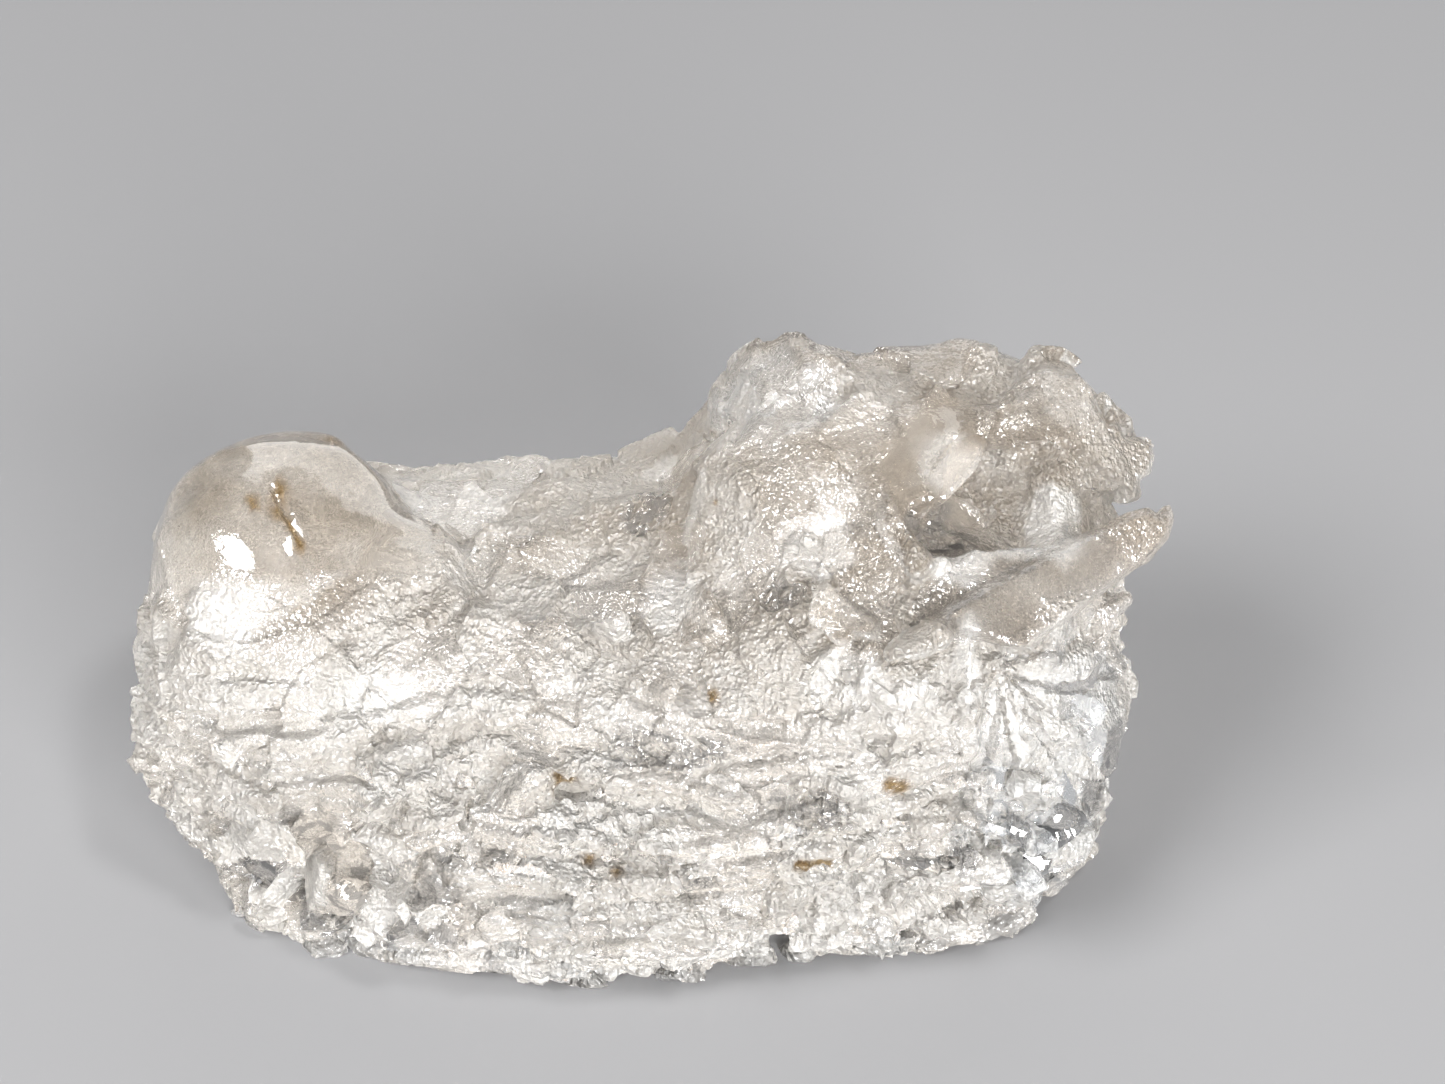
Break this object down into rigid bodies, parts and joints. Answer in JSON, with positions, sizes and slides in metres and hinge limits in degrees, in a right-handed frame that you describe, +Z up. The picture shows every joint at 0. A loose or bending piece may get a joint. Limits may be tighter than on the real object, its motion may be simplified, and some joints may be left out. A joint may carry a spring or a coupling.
{
  "type": "rough crystal specimen",
  "caption": "Rough colourless beryl crystal, a natural etched lump with level ledges, a smooth dome and thin blades, resting on a flat broken face.",
  "frame": {"origin": "middle of the crystal's length and depth, on the flat face it rests on", "axes": "+X along the crystal from the glassy dome to the blades, -Y out of the ledged front, +Z up"},
  "size_m": [0.0312, 0.018, 0.0152],
  "materials": {
    "clear_beryl": "clear to milky crystal, glossy on its smooth faces and frosted where it is etched"
  },
  "bodies": {
    "root": {"goshenite_crystal": "clear_beryl"}
  },
  "joints": []
}
